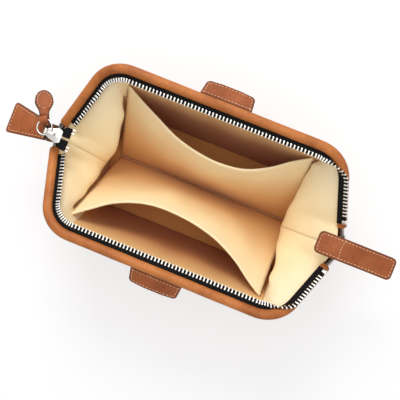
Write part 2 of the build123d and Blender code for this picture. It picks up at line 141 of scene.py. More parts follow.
def smooth_through(keys, count):
    """Catmull-Rom line through key points, at even steps."""
    keys = [Vector(k) for k in keys]
    pts = [keys[0] * 2 - keys[1]] + keys + [keys[-1] * 2 - keys[-2]]
    line = []
    for i in range(1, len(pts) - 2):
        p0, p1, p2, p3 = pts[i - 1 : i + 3]
        d1, d2, d3 = (max((b - a).length, 0.01) ** 0.5 for a, b in ((p0, p1), (p1, p2), (p2, p3)))
        m1 = ((p1 - p0) / d1 - (p2 - p0) / (d1 + d2) + (p2 - p1) / d2) * d2
        m2 = ((p2 - p1) / d2 - (p3 - p1) / (d2 + d3) + (p3 - p2) / d3) * d2
        for k in range(10):
            s = k / 10
            line.append(
                p1 * (2 * s**3 - 3 * s**2 + 1)
                + m1 * (s**3 - 2 * s**2 + s)
                + p2 * (3 * s**2 - 2 * s**3)
                + m2 * (s**3 - s**2)
            )
    line.append(keys[-1])
    return even(line, count)


def leg_x(t):
    return HINGE_X - (HINGE_X - CORNER_X) / BAR_REACH * t


def stand(side, x, y, n):
    """Point of a half drawn flat, with y = -t, in its open position."""
    out = PLANE_OFFSET * SIN - y * COS - n * SIN
    return Vector((x, side * out, HINGE_Z - PLANE_OFFSET * COS - y * SIN + n * COS))


def mouth(t_left, t_right):
    """Flat line of a half, from its start at the slider end round to the strap end."""
    bar = [(-CORNER_X, -BAR_REACH), (CORNER_X, -BAR_REACH)]
    ends = (-leg_x(t_left), -t_left), (leg_x(t_right), -t_right)
    return rounded([ends[0], *bar, ends[1]], [0, BEND, BEND, 0])


def along(line, total, where):
    """Point, direction and inward direction on a flat path."""
    p = at_length(line, total, where)
    run = (at_length(line, total, where + 0.4) - at_length(line, total, where - 0.4)).normalized()
    return p, run, Vector((-run.y, run.x))


# Meshes


def shown(name, data):
    obj = bpy.data.objects.new(name, data)
    bpy.context.scene.collection.objects.link(obj)
    return obj


def linked(name, mesh, bm, materials):
    """Write a bmesh into a mesh and put the mesh into the scene."""
    bm.to_mesh(mesh)
    bm.free()
    for m in materials:
        mesh.materials.append(m)
    return shown(name, mesh)


def make(name, verts, faces, materials, index=None, smooth=True):
    mesh = bpy.data.meshes.new(name)
    mesh.from_pydata([Vector(v) * MM for v in verts], [], faces)
    bm = bmesh.new()
    bm.from_mesh(mesh)
    if index:
        bm.faces.ensure_lookup_table()
        for f, i in zip(bm.faces, index):
            f.material_index = i
    bmesh.ops.recalc_face_normals(bm, faces=bm.faces)
    for f in bm.faces:
        f.smooth = smooth
    return linked(name, mesh, bm, materials)


def apply(obj, kind, **values):
    """Add one modifier and apply it."""
    mod = obj.modifiers.new(kind.lower(), kind)
    for key, value in values.items():
        setattr(mod, key, value)
    bpy.context.view_layer.update()
    depsgraph = bpy.context.evaluated_depsgraph_get()
    mesh = bpy.data.meshes.new_from_object(obj.evaluated_get(depsgraph))
    obj.modifiers.clear()
    old = obj.data
    obj.data = mesh
    bpy.data.meshes.remove(old)
    mesh.name = obj.name
    return obj


def band(wide, rings, first=0, around=True, wrap=False):
    """Faces between rows of points that follow each other in a list, from its index first."""
    faces = []
    for i in range(rings - (not wrap)):
        a, b = first + i * wide, first + (i + 1) % rings * wide
        for j in range(wide - (not around)):
            k = (j + 1) % wide
            faces.append((a + j, a + k, b + k, b + j))
    return faces


def grid(name, rows, materials, around=False, thick=0.0, rim=0):
    """Surface through rows of points, closed round each row if around is true."""
    wide = len(rows[0])
    verts = [p for row in rows for p in row]
    faces = band(wide, len(rows), around=around)
    if around:
        faces.append(tuple(reversed(range(wide))))
        faces.append(tuple((len(rows) - 1) * wide + j for j in range(wide)))
    obj = make(name, verts, faces, materials)
    if thick:
        sizes = {"thickness": thick * MM, "offset": 0.0, "material_offset_rim": rim}
        apply(obj, "SOLIDIFY", use_even_offset=True, use_rim=True, **sizes)
    return obj


def thread(name, capsules, material, radius=0.32):
    """One mesh of short sewn stitches. Each capsule is start, end and up."""
    verts, faces = [], []
    sides = 6
    # Share of the length, share of the radius and lift, ring by ring.
    rings = ((0.0, 0.35, -0.5), (0.12, 0.85, 0.1), (0.5, 1.0, 0.45), (0.88, 0.85, 0.1), (1.0, 0.35, -0.5))
    for start, end, up in capsules:
        axis = (end - start).normalized()
        side = axis.cross(up).normalized()
        top = side.cross(axis).normalized()
        first = len(verts)
        for share, wide, lift in rings:
            middle = start.lerp(end, share) + top * (lift * radius)
            for a in circle(sides):
                verts.append(middle + (side * cos(a) + top * sin(a)) * (radius * wide))
        faces += band(sides, len(rings), first)
        faces.append(tuple(first + k for k in reversed(range(sides))))
        faces.append(tuple(first + (len(rings) - 1) * sides + k for k in range(sides)))
    return make(name, verts, faces, [material])


def sewn(line, place, pitch=3.1, length=2.3):
    """Stitches along a flat line, placed by a function of x, y that gives a point and its normal."""
    total = lengths(line)
    count = max(1, int(total[-1] / pitch))
    gap = total[-1] / count
    made = []
    for i in range(count):
        a = at_length(line, total, gap * i + (gap - length) / 2)
        b = at_length(line, total, gap * i + (gap + length) / 2)
        pa, up = place(a.x, a.y)
        pb, _ = place(b.x, b.y)
        made.append((pa, pb, up))
    return made


def inset(outline, depth):
    """Closed flat line drawn in by a depth; the outline runs anticlockwise."""
    count = len(outline)
    moved = []
    for i in range(count):
        a, b, c = outline[i - 1], outline[i], outline[(i + 1) % count]
        d1, d2 = (b - a).normalized(), (c - b).normalized()
        n = Vector((-d1.y - d2.y, d1.x + d2.x)).normalized()
        cosine = max(0.4, n.dot(Vector((-d1.y, d1.x))))
        moved.append(b + n * (depth / cosine))
    return moved


def seam(outline, depth):
    """Closed line of a seam at a depth inside an outline."""
    line = inset(outline, depth)
    return line + line[:1]


def spaced(line, gap):
    """The points of a line that lie more than a gap from the last one kept."""
    kept = [line[0]]
    for p in line[1:]:
        if (p - kept[-1]).length > gap:
            kept.append(p)
    return kept


def anticlockwise(line):
    area = sum(a.x * b.y - b.x * a.y for a, b in zip(line, line[1:] + line[:1]))
    return line if area > 0 else line[::-1]


def closed(points, radii, step=0.7):
    """Closed flat outline with rounded corners."""
    count = len(points)
    line = []
    for i in range(count):
        part = rounded([points[i - 1], points[i], points[(i + 1) % count]], [0, radii[i], 0], step)
        line.extend(part[1:-1])
    return anticlockwise(spaced(line, SAME))


def edge_distance(x, y, outline):
    p = Vector((x, y))
    best = []
    for a, b in zip(outline, outline[1:] + outline[:1]):
        d = b - a
        s = min(1.0, max(0.0, (p - a).dot(d) / max(d.length_squared, 1e-9)))
        best.append((p - a - d * s).length)
    return min(best)


def cut(bm, axis, at):
    """Cut every face that crosses a plane square to an axis."""
    geom = bm.verts[:] + bm.edges[:] + bm.faces[:]
    bmesh.ops.bisect_plane(bm, geom=geom, plane_co=axis * at, plane_no=axis, dist=1e-4)


def plate(name, outline, low, thick, place, materials, step=1.6, crown=0.22, groove=2.0, up=True):
    """Cut piece of leather: bevelled, painted edge, crowned face and a pressed stitch groove.

    Local z goes from low to low + thick, and place turns a local x, y, z into a point of the bag.
    """
    bm = bmesh.new()
    face = bm.faces.new([bm.verts.new((p.x, p.y, low)) for p in outline])
    grown = bmesh.ops.extrude_face_region(bm, geom=[face])
    for v in [e for e in grown["geom"] if isinstance(e, bmesh.types.BMVert)]:
        v.co.z += thick
    bmesh.ops.recalc_face_normals(bm, faces=bm.faces)
    pairs = [(e, e.link_faces) for e in bm.edges if len(e.link_faces) == 2]
    sharp = [e for e, (f, g) in pairs if abs(f.normal.z - g.normal.z) > 0.5]
    bmesh.ops.bevel(bm, geom=sharp, offset=min(0.4, thick * 0.3), segments=2, affect="EDGES", profile=0.5)
    for f in bm.faces:
        f.material_index = 0 if abs(f.normal.z) > 0.75 else 1
    xs, ys = [p.x for p in outline], [p.y for p in outline]
    for low_v, high_v, normal in ((min(xs), max(xs), (1, 0, 0)), (min(ys), max(ys), (0, 1, 0))):
        count = max(1, int((high_v - low_v) / step))
        for i in range(1, count):
            cut(bm, Vector(normal), low_v + (high_v - low_v) * i / count)
    rim = bm.verts.layers.float.new("rim")
    middle = low + thick / 2
    for v in bm.verts:
        d = edge_distance(v.co.x, v.co.y, outline)
        v[rim] = exp(-d / 1.1)
        sign = 1 if v.co.z > middle else -1
        drop = crown * exp(-d / 0.9)
        if groove and (sign > 0) == up:
            drop += 0.16 * exp(-(((d - groove) / 0.55) ** 2))
            drop += 0.10 * noise.noise(Vector((v.co.x, v.co.y, low)) * 0.16) * min(1.0, d / 3)
        v.co.z -= sign * drop * min(1.0, abs(v.co.z - middle) * 2 / thick)
    for v in bm.verts:
        v.co = place(v.co.x, v.co.y, v.co.z) * MM
    bmesh.ops.recalc_face_normals(bm, faces=bm.faces)
    for f in bm.faces:
        f.smooth = True
    return linked(name, bpy.data.meshes.new(name), bm, materials)


def block(name, size, bevel, matrix, material, segments=3):
    """Bevelled metal block, placed by a matrix in millimetres."""
    bm = bmesh.new()
    bmesh.ops.create_cube(bm, size=1.0)
    for v in bm.verts:
        v.co = Vector((v.co.x * size[0], v.co.y * size[1], v.co.z * size[2]))
    bmesh.ops.bevel(bm, geom=bm.edges[:], offset=bevel, segments=segments, affect="EDGES", profile=0.5)
    verts = [matrix @ v.co for v in bm.verts]
    faces = [[v.index for v in f.verts] for f in bm.faces]
    bm.free()
    return make(name, verts, faces, [material])


def join(name, objs):
    """Join meshes into one object."""
    bm = bmesh.new()
    materials = []
    for o in objs:
        before = len(bm.faces)
        bm.from_mesh(o.data)
        bm.faces.ensure_lookup_table()
        slots = []
        for m in o.data.materials:
            if m not in materials:
                materials.append(m)
            slots.append(materials.index(m))
        for f in bm.faces[before:]:
            f.material_index = slots[f.material_index]
    for o in objs:
        old = o.data
        bpy.data.objects.remove(o)
        bpy.data.meshes.remove(old)
    return linked(name, bpy.data.meshes.new(name), bm, materials)


# Materials


class Nodes:
    """Short way to build a node material."""

    def __init__(self, name):
        self.material = bpy.data.materials.new(name)
        self.material.use_nodes = True
        self.tree = self.material.node_tree
        self.shader = self.tree.nodes["Principled BSDF"]
        self.place = self.add("TexCoord").outputs["Object"]

    def add(self, kind, inputs=None, **values):
        node = self.tree.nodes.new("ShaderNode" + kind)
        for key, value in values.items():
            setattr(node, key, value)
        for key, value in (inputs or {}).items():
            if isinstance(value, bpy.types.NodeSocket):
                self.tree.links.new(value, node.inputs[key])
            else:
                node.inputs[key].default_value = value
        return node

    def noise(self, scale, detail=3.0, rough=0.55, stretch=None):
        vector = self.place
        if stretch:
            vector = self.add("Mapping", {"Vector": self.place, "Scale": stretch}).outputs[0]
        inputs = {"Vector": vector, "Scale": scale, "Detail": detail, "Roughness": rough}
        return self.add("TexNoise", inputs).outputs["Fac"]

    def wave(self, scale, distortion, direction, detail=2.0):
        inputs = {"Vector": self.place, "Scale": scale, "Distortion": distortion, "Detail": detail}
        return self.add("TexWave", inputs, bands_direction=direction).outputs["Fac"]

    def cells(self, scale):
        inputs = {"Vector": self.place, "Scale": scale}
        return self.add("TexVoronoi", inputs, feature="SMOOTH_F1").outputs["Distance"]

    def ramp(self, factor, *stops):
        node = self.add("ValToRGB", {"Fac": factor})
        band = node.color_ramp
        while len(band.elements) < len(stops):
            band.elements.new(0.5)
        for element, (where, colour) in zip(band.elements, stops):
            element.position = where
            element.color = (*colour, 1.0) if isinstance(colour, tuple) else (colour, colour, colour, 1.0)
        return node.outputs["Color"]

    def blend(self, factor, a, b, mode="MIX"):
        a, b = ((*c, 1.0) if isinstance(c, tuple) else c for c in (a, b))
        return self.add("Mix", {0: factor, 6: a, 7: b}, data_type="RGBA", blend_type=mode).outputs[2]

    def math(self, op, a, b=0.0):
        return self.add("Math", {0: a, 1: b}, operation=op).outputs[0]

    def bump(self, *layers):
        normal = None
        for height, distance, strength in layers:
            inputs = {"Height": height, "Distance": distance, "Strength": strength}
            if normal is not None:
                inputs["Normal"] = normal
            normal = self.add("Bump", inputs).outputs["Normal"]
        self.tree.links.new(normal, self.shader.inputs["Normal"])

    def finish(self, colour, rough, **values):
        self.tree.links.new(colour, self.shader.inputs["Base Color"])
        self.tree.links.new(rough, self.shader.inputs["Roughness"])
        for key, value in values.items():
            self.shader.inputs[key.replace("_", " ")].default_value = value
        return self.material


def leather(name, light, base, dark, grain=900.0, gloss=0.42):
    n = Nodes(name)
    patches = n.noise(38.0, 4.0, 0.6)
    fine = n.noise(420.0, 3.0, 0.6)
    cells = n.cells(grain)
    colour = n.ramp(patches, (0.32, dark), (0.5, base), (0.7, light))
    pores = n.ramp(cells, (0.0, 0.80), (0.55, 1.0))
    colour = n.blend(0.55, colour, pores, "MULTIPLY")
    colour = n.blend(0.35, colour, n.ramp(fine, (0.3, 0.72), (0.7, 1.1)), "MULTIPLY")
    rim = n.add("Attribute", attribute_name="rim").outputs["Fac"]
    colour = n.blend(n.math("MULTIPLY", rim, 0.8), colour, tuple(c * 0.22 for c in dark))
    rough = n.ramp(fine, (0.25, gloss + 0.14), (0.75, gloss - 0.04))
    n.bump((cells, 0.00022, 0.45), (fine, 0.00018, 0.35), (patches, 0.0012, 0.25))
    return n.finish(colour, rough, Specular_IOR_Level=0.22)


def cloth(name, stops):
    n = Nodes(name)
    split = n.add("SeparateXYZ", {"Vector": n.place})
    # The colour follows the height: painted shade that makes the cloth darker and more orange deep in the
    # bag.
    reach = {"Value": split.outputs["Z"], "From Min": 0.004, "From Max": 0.088}
    colour = n.ramp(n.add("MapRange", reach).outputs[0], *stops)
    patches = n.noise(22.0, 3.0)
    colour = n.blend(0.22, colour, n.ramp(patches, (0.3, 0.86), (0.7, 1.05)), "MULTIPLY")
    weave = n.math("ADD", n.wave(420.0, 1.2, "X", 1.0), n.wave(420.0, 1.2, "Z", 1.0))
    fine = n.noise(700.0, 2.0)
    n.bump((weave, 0.00006, 0.35), (fine, 0.0001, 0.3), (patches, 0.0015, 0.2))
    rough = n.ramp(fine, (0.3, 0.78), (0.7, 0.62))
    return n.finish(colour, rough, Sheen_Weight=0.15, Sheen_Roughness=0.5, Specular_IOR_Level=0.3)


def tape_cloth():
    n = Nodes("zip_tape_weave")
    rows = n.wave(330.0, 2.5, "DIAGONAL")
    fine = n.noise(900.0, 2.0)
    colour = n.ramp(rows, (0.2, (0.003, 0.003, 0.003)), (0.8, (0.012, 0.011, 0.011)))
    colour = n.blend(0.4, colour, n.ramp(fine, (0.3, 0.5), (0.7, 1.5)), "MULTIPLY")
    n.bump((rows, 0.0003, 0.6), (fine, 0.00015, 0.4))
    return n.finish(colour, n.ramp(fine, (0.3, 0.9), (0.7, 0.75)), Specular_IOR_Level=0.08)


def metal(name, base, rough, scale=260.0):
    n = Nodes(name)
    patches = n.noise(scale, 3.0)
    lines = n.noise(1500.0, 2.0, 0.5, (1.0, 0.15, 1.0))
    colour = n.ramp(patches, (0.3, tuple(c * 0.80 for c in base)), (0.65, base))
    n.bump((lines, 0.00004, 0.3), (patches, 0.00012, 0.25))
    return n.finish(colour, n.ramp(patches, (0.3, rough + 0.12), (0.7, rough - 0.05)), Metallic=1.0)


def sewing_thread():
    n = Nodes("waxed_thread")
    twist = n.wave(600.0, 1.0, "DIAGONAL")
    fine = n.noise(300.0, 2.0)
    colour = n.ramp(fine, (0.3, (0.62, 0.30, 0.15)), (0.7, (0.80, 0.50, 0.30)))
    n.bump((twist, 0.0001, 0.5))
    return n.finish(colour, n.ramp(twist, (0.2, 0.6), (0.8, 0.45)), Sheen_Weight=0.1)


def plain(name, noise, low, high, bump, rough):
    """Material of one fine noise, between two stops of colour and two roughnesses."""
    n = Nodes(name)
    fine = n.noise(*noise)
    n.bump((fine, *bump))
    return n.finish(n.ramp(fine, low, high), n.ramp(fine, (0.3, rough[0]), (0.7, rough[1])))


BODY = leather(
    "body_leather_grain", (0.56, 0.215, 0.066), (0.47, 0.165, 0.048), (0.36, 0.115, 0.032), 820.0, 0.46
)
PIPING = leather(
    "piping_leather_grain", (0.54, 0.19, 0.050), (0.45, 0.145, 0.036), (0.32, 0.09, 0.022), 900.0, 0.42
)
TAB = leather(
    "tab_leather_grain", (0.40, 0.118, 0.036), (0.31, 0.083, 0.024), (0.22, 0.052, 0.014), 760.0, 0.46
)
# The cloth's colour is painted shade by height: it darkens towards the floor. Each stop is a share of the
# height and a colour.
AMBER, CREAM = (0.74, 0.42, 0.16), (0.88, 0.68, 0.38)
LINING = cloth(
    "lining_weave",
    ((0.0, (0.55, 0.23, 0.065)), (0.3, AMBER), (0.62, CREAM), (1.0, (0.92, 0.79, 0.54))),
)
# The wall lining behind the pockets is a darker, shaded copy of the lining cloth: painted shade.
WALL_SHADED_LINING = cloth(
    "wall_lining_painted_shade",
    ((0.0, (0.42, 0.12, 0.022)), (0.5, (0.52, 0.19, 0.045)), (0.8, AMBER), (1.0, (0.86, 0.64, 0.35))),
)
TAPE = tape_cloth()
TEETH = metal("zip_metal_finish", (0.74, 0.72, 0.67), 0.24)
BRIGHT = metal("bright_metal_finish", (0.66, 0.65, 0.62), 0.24)
STEEL = metal("frame_steel_finish", (0.58, 0.57, 0.56), 0.34)
EDGE = plain(
    "painted_edge",
    (600.0, 3.0),
    (0.3, (0.012, 0.007, 0.005)),
    (0.75, (0.05, 0.026, 0.016)),
    (0.00015, 0.5),
    (0.55, 0.4),
)
THREAD = sewing_thread()
BOARD = plain(
    "pressed_board",
    (260.0, 4.0),
    (0.3, (0.30, 0.23, 0.16)),
    (0.7, (0.46, 0.37, 0.27)),
    (0.0003, 0.5),
    (0.9, 0.75),
)

LAP = 0.5  # how far the two halves of a gusset run past its middle


def bend_with(obj):
    """Soft piece: bake its placement into its mesh."""
    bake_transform(obj)
    return obj


def rides(obj, body, slot, *nodes):
    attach(obj, body)
    if nodes:
        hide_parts(*nodes)
    return obj


# Walls and lining. The tables hold the half sizes of the solids' outlines at each height.

TIP_RADIUS = 5.0  # at the middle of each end
SKIN_IN, CLOTH_IN = 0.9, 0.4  # from a solid's outline in to the middle of its leather or cloth
SKIN_EDGE, CLOTH_EDGE = (-0.8, -3.4), (3.1, -1.6)  # top edges: inwards, and out of the half's plane
INNER_LEVELS = (5.0, 20.0, 36.0, 52.0, 68.0)
SHELL = {
    "z": [1.0, 36.0, 58.0, 102.0],
    "tip": [96.0, 92.0, 128.3, 130.0],
    "corner": [93.0, 97.0, 99.0, 101.5],
    "half": [47.0, 56.0, 61.5, 72.5],
    "radius": [14.0, 19.0, 23.0, 28.0],
}
INNER = {
    "z": [5.0, 36.0, 60.0, 83.0, 102.0],
    "tip": [88.0, 79.0, 112.0, 121.5, 122.0],
    "corner": [86.0, 92.0, 95.0, 98.0, 99.0],
    "half": [43.0, 52.5, 58.5, 64.5, 69.0],
    "radius": [11.0, 16.0, 20.0, 24.0, 26.0],
}


def level(table, key, z):
    """A table's value at a height, even between its rows."""
    zs, vs = table["z"], table[key]
    if z <= zs[0]:
        return vs[0]
    for i in range(len(zs) - 1):
        if z <= zs[i + 1]:
            return mix(vs[i], vs[i + 1], (z - zs[i]) / (zs[i + 1] - zs[i]))
    return vs[-1]


def split(line):
    """Cut a line at SPLIT_X into the panel's part and the gusset's part."""
    for i, (a, b) in enumerate(zip(line, line[1:])):
        if b.x > SPLIT_X:
            cross = a.lerp(b, (SPLIT_X - a.x) / (b.x - a.x))
            return line[: i + 1] + [cross], [cross] + line[i + 1 :]
    return line, []


def outline_parts(table, z, draw_in=0.0):
    """Front quarter of the bag's outline at a height: the panel's line and the gusset's line."""
    tip, corner, half, radius = (level(table, k, z) - draw_in for k in ("tip", "corner", "half", "radius"))
    points = [(0, -half), (corner, -half), (tip, 0), (corner, half)]
    panel, beyond = split(rounded(points, [0, radius, TIP_RADIUS, 0], 1.0))
    rest = beyond[:1]
    for a, b in zip(beyond, beyond[1:]):
        if b.y >= 0:
            rest.append(a.lerp(b, (0 - a.y) / (b.y - a.y)))
            break
        rest.append(b)
    return panel, rest


def at_x(line, x):
    """Point at an x of a line that runs towards +X."""
    for a, b in zip(line, line[1:]):
        if b.x >= x - 1e-6:
            return a.lerp(b, (x - a.x) / max(b.x - a.x, 1e-9))
    return line[-1].copy()


def top_parts(edge, foot, hinge):
    """Top edge of a wall under the front half's cover: the panel's part, then the gusset's part.

    It runs from the middle of the bar to the hinge's x and z. The edge gives how far inwards and
    how far out of the half's plane it lies.
    """
    line = mouth(foot, foot)
    total = lengths(line)
    count = 160
    points = []
    for i in range(count // 2, count + 1):
        p, _, inward = along(line, total, total[-1] * i / count)
        q = p + inward * edge[0]
        points.append(stand(-1, q.x, q.y, edge[1]))
    points[0].x = 0.0
    last = points[-1]
    points.append(Vector((mix(last.x, hinge[0], 0.6), last.y * 0.45, mix(last.z, hinge[1], 0.75))))
    points.append(Vector((hinge[0], 0, hinge[1])))
    return split(points)


def flat_to_side(p, end, side):
    return Vector((p.x * end, p.y * -side, p.z))


def wall_keys(table, heights, top, draw_in, share=None, x=None):
    """Key points of a wall's column, from the lowest height up to its top.

    The column stands at an x of the panel, or else at a share of the gusset's width.
    """
    keys = []
    for z in heights:
        if z > top.z - 7:
            break
        panel, rest = outline_parts(table, z, draw_in)
        if x is not None:
            keys.append(Vector((x, at_x(panel, x).y, z)))
        else:
            p = at_length(rest, lengths(rest), lengths(rest)[-1] * share)
            keys.append(Vector((p.x, p.y, z)))
    keys.append(top)
    return keys


def ripple(p, size, height, seed=0.0):
    """Soft unevenness at a point: size is its width across and a third of its height upwards."""
    return noise.noise(Vector((p.x / size, p.y / size, p.z / (size * 3))) + Vector((seed, 0, 0))) * height


def columns_to_rows(columns):
    return [list(r) for r in zip(*columns)]


def leather_wall(name, columns, node):
    skin = grid(name, columns_to_rows(columns), [BODY, EDGE], thick=1.7, rim=1)
    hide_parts(node)
    bend_with(skin)


def cloth_wall(name, columns, node, material):
    rows = columns_to_rows(columns)
    wall = grid(name, rows, [material], thick=0.5)
    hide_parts(node)
    bend_with(wall)


def make_panels():
    wide, deep = 42, 34
    for side, word in HALVES:
        skin_top, _ = top_parts(SKIN_EDGE, COVER_FOOT[0], (128.0, 62.8))
        cloth_top, _ = top_parts(CLOTH_EDGE, COVER_FOOT[0], (121.5, 82.6))
        skin, cloth_columns = [], []
        for i in range(-wide, wide + 1):
            x = SPLIT_X * i / wide
            top = at_x(skin_top, abs(x))
            keys = wall_keys(SHELL, (1.0, 18.0, 36.0, 54.0, 74.0), top, SKIN_IN, x=abs(x))
            column = smooth_through(keys, deep)
            for k, p in enumerate(column):
                free = sin(pi * k / deep)
                p.x = copysign(p.x, x) if x else 0.0
                p.y -= (ripple(p, 34.0, 1.6, 3.1 * side) + 0.9 * cos(x / 40.0)) * free * 0.8
                p.y *= -side
            skin.append(column)
            keys = wall_keys(INNER, INNER_LEVELS, at_x(cloth_top, abs(x)), CLOTH_IN, x=abs(x))
            column = smooth_through(keys, deep)
            for k, p in enumerate(column):
                free = sin(pi * min(1.0, k / (deep - 1)))
                p.x = copysign(p.x, x) if x else 0.0
                p.y += ripple(p, 22.0, 1.2, 7.7 * side) * free
                p.y *= -side
            cloth_columns.append(column)
        leather_wall(word + "_panel_leather", skin, word + "_panel")
        cloth_wall(word + "_lining_cloth", cloth_columns, word + "_lining", WALL_SHADED_LINING)


# Where each gusset lining folds under, from the pocket's top corner to the middle of the end.
# X runs outwards, and y is negative on the piece's own side of the middle.
FOLD_EDGE = {
    "left_front": [(91.0, -55.0, 72.0), (88.5, -34.0, 55.0), (84.0, -7.0, 40.0)],
    "left_back": [(86.0, -55.0, 74.0), (80.5, -29.0, 62.0), (79.0, -7.0, 50.0), (84.0, 7.0, 40.0)],
    "right_front": [(84.0, -56.0, 72.0), (83.5, -42.0, 63.0), (80.0, -22.0, 50.0), (76.0, -2.0, 40.0)],
    "right_back": [(80.0, -58.5, 72.0), (78.0, -38.0, 58.0), (76.5, -17.0, 48.0), (76.0, 2.0, 40.0)],
}
# Top edges of the pockets in plan, from the slider end to the strap end.
POCKET_TOP = {
    "front": [(-90, -57), (-76, -46), (-60, -34.5), (-34, -25), (-4, -24)]
    + [(27, -30), (51, -41), (66, -51.5), (80, -60)],
    "back": [(-84, 60), (-70, 52.5), (-52, 44), (-31, 34.5), (-7, 29)]
    + [(11, 28), (31, 31), (49, 40), (64, 51), (79, 60.3)],
}
POCKET_TOP_Z = 72.0
POCKET_DIP = 2.6  # how far the top edge hangs lower at its middle
SEAM_Y = 2.5  # the bottom seam lies a little towards the back
SEAM_Z = 5.2
SEAM_HALF = 80.0
GUSSET_COLUMNS, GUSSET_DEPTH = 26, 32


def gusset_tops(rest):
    """Share of a gusset half's width and its top point, column by column."""
    total = lengths(rest)
    for j in range(GUSSET_COLUMNS + 1):
        share = j / GUSSET_COLUMNS
        yield share, at_length(rest, total, total[-1] * share)


def make_gusset_leather(end, end_word, side, word, foot):
    _, rest = top_parts(SKIN_EDGE, foot, (129.2, 62.0))
    columns = []
    for share, top in gusset_tops(rest):
        keys = wall_keys(SHELL, (1.0, 18.0, 36.0, 47.0, 56.0, 74.0), top, SKIN_IN, share)
        column = smooth_through(keys, GUSSET_DEPTH)
        for k, p in enumerate(column):
            free = sin(pi * k / GUSSET_DEPTH) * min(1.0, 6 * (1 - share))
            p.x += ripple(p, 20.0, 2.0, 5.0 * side + end) * free
            p.y += LAP * (share == 1)
        columns.append([flat_to_side(p, end, side) for p in column])
    leather_wall(f"{end_word}_gusset_{word}_leather", columns, end_word + "_gusset")


def make_gusset_lining(end, end_word, side, word, foot):
    """Gusset lining that hangs from the frame, folds under and runs back out to the floor."""
    _, rest = top_parts(CLOTH_EDGE, foot, (121.8, 82.2))
    fold = smooth_through(FOLD_EDGE[end_word + "_" + word], 40)
    fold_total = lengths(fold)
    _, floor = outline_parts(INNER, INNER_LEVELS[0], CLOTH_IN)
    floor_total = lengths(floor)
    under_steps = 5
    upper_steps = GUSSET_DEPTH - under_steps
    columns = []
    for share, top in gusset_tops(rest):
        low = at_length(fold, fold_total, fold_total[-1] * max(0.0, (share - 0.1) / 0.9))
        under = at_length(floor, floor_total, floor_total[-1] * share)
        under = Vector((under.x, under.y, INNER_LEVELS[0]))
        tuck = low + Vector((5.0, 0.0, -14.0))
        column = [under.lerp(tuck, k / under_steps) for k in range(under_steps)]
        puff = 2.6 * sin(pi * min(1.0, share * 1.1))
        middle = low.lerp(top, 0.5) + Vector((-0.5, 0.45, 0.74)) * puff
        column += smooth_through([tuck, low, middle, top], upper_steps)
        # Next to the panel the gusset lies flat, as the panel does.
        flat = smooth_through(wall_keys(INNER, INNER_LEVELS, top, CLOTH_IN, x=SPLIT_X), GUSSET_DEPTH)
        joined = ease(share / 0.16)
        column = [a.lerp(b, joined) for a, b in zip(flat, column)]
        for k, p in enumerate(column):
            free = sin(pi * max(0, k - under_steps) / upper_steps) * min(1.0, 5 * (1 - share)) * joined
            folds = ripple(p, 12.0, 2.2, 9.0 * side + 2 * end) + 0.8 * sin(share * 19 + p.z * 0.07)
            p.x += folds * free
            p.y += 0.5 * folds * free + LAP * (share == 1)
        columns.append([flat_to_side(p, end, side) for p in column])
    name = f"{end_word}_gusset_{word}_lining"
    cloth_wall(name, columns, end_word + "_gusset_lining", LINING)


def make_gussets():
    for end, end_word in ENDS:
        foot = COVER_FOOT[0] if end < 0 else COVER_FOOT[1]
        for side, word in HALVES:
            make_gusset_leather(end, end_word, side, word, foot)
            make_gusset_lining(end, end_word, side, word, foot)
        make_ear(end, end_word)


def make_ear(end, end_word):
    """Strip of gusset leather that runs up outside the hinge."""
    half, low, high = 7.5, 55.5, 82.6 if end < 0 else 83.9
    corners = [(-half, low), (half, low), (half, high), (-half, high)]
    outline = closed(corners, [2.0, 2.0, 3.0, 3.0])

    def place(x, y, z):
        return Vector((end * (128.5 + z), x, y))

    strip = plate(end_word + "_gusset_ear", outline, 0.0, 1.5, place, [BODY, EDGE], 2.5, 0.15, 1.8)
    rides(strip, "bag_body", "body_leather", end_word + "_gusset")


def make_base():
    for name, table, z, thick, materials, slot, node in (
        ("base_leather", SHELL, 0.0, 1.8, [BODY, EDGE], "body_leather", "base_panel"),
        ("base_lining_cloth", INNER, 4.0, 0.8, [LINING, LINING], "lining_cloth", "base_lining"),
    ):
        panel, rest = outline_parts(table, table["z"][0])
        quarter = panel[:-1] + rest
        line = [Vector((p.x, p.y)) for p in quarter]
        line += [Vector((p.x, -p.y)) for p in reversed(quarter[:-1])]
        line += [Vector((-p.x, -p.y)) for p in quarter[1:]]
        line += [Vector((-p.x, p.y)) for p in reversed(quarter[1:-1])]

        def place(x, y, h, z=z):
            return Vector((x, y, z + h))

        slab = plate(name, spaced(line, 0.6), 0.0, thick, place, materials, 9.0, 0.1, 0)
        rides(slab, "bag_body", slot, node)


def pocket_rows(side, word):
    """Rows of points of a pocket, from the bottom seam up to its top edge."""
    wide, deep = 64, 30
    top_line = smooth_through(POCKET_TOP[word], wide)
    rows = []
    for k in range(deep + 1):
        v = k / deep
        row = []
        for i in range(wide + 1):
            u = -1 + 2 * i / wide
            x = mix(u * SEAM_HALF, top_line[i].x, v)
            y = mix(-0.8 - SEAM_Y * side, top_line[i].y * -side, v)
            z = mix(SEAM_Z, POCKET_TOP_Z - POCKET_DIP * (1 - u * u), v)
            y += 2.6 * sin(pi * v) * (1 - u * u)
            free = sin(pi * v) * (1 - u**6)
            y += ripple(Vector((x, v * 60, 0)), 24.0, 2.0, 4.0 * side) * free
            y += 0.8 * sin(x * 0.11 + 1.5 * side) * free * v
            row.append(Vector((x, y * -side, z)))
        rows.append(row)
    return rows


